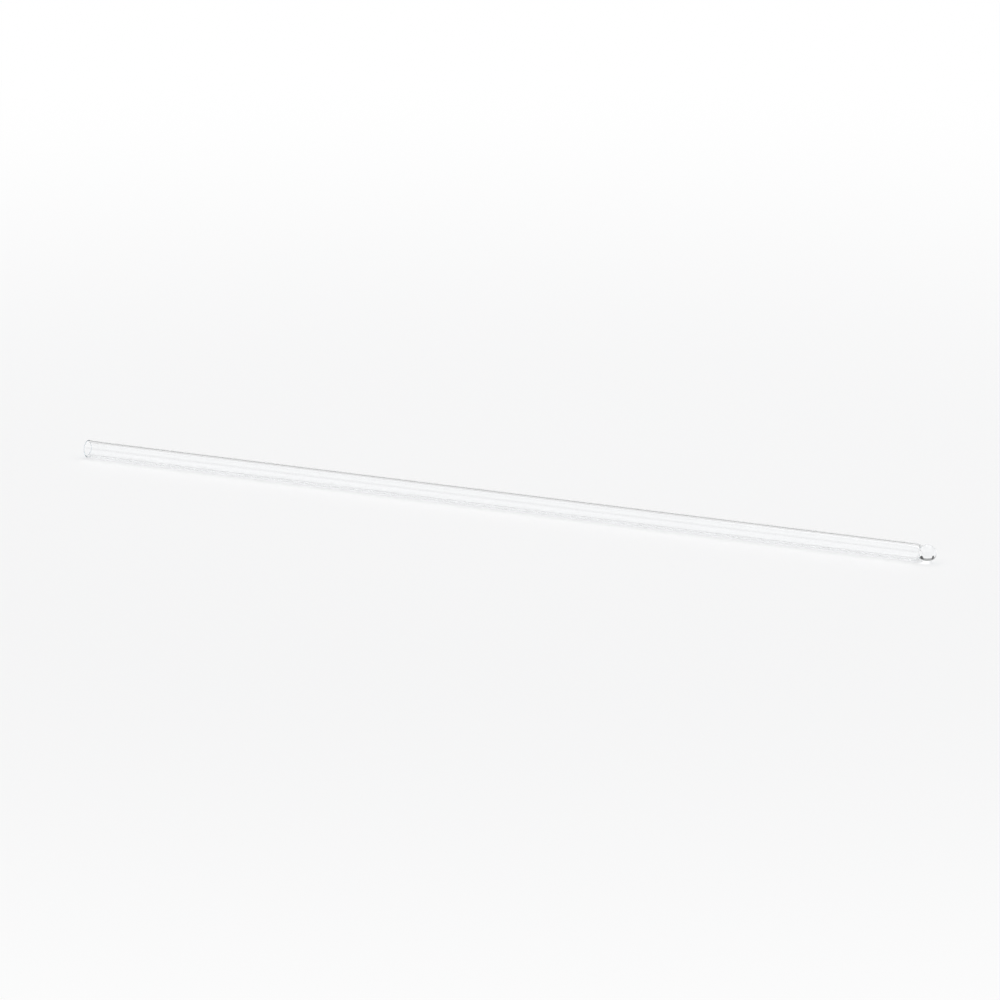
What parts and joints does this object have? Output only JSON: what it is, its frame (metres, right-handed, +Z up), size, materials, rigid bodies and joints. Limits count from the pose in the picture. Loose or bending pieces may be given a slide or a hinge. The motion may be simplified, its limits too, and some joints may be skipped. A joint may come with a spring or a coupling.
{
  "type": "glass capillary tube",
  "caption": "Straight thin-walled tube of clear glass, with a narrow bore that is open at one end, and closed at the other by a round melted bead on a short neck.",
  "frame": {"origin": "on the surface that the tube lies on, directly below its axis, midway along its length", "axes": "+X along the tube's axis, towards the sealed end; +Z up"},
  "size_m": [0.09, 0.0016, 0.0016],
  "materials": {
    "glass": "clear and polished, as drawn"
  },
  "bodies": {
    "root": {"capillary_tube": "glass"}
  },
  "joints": []
}
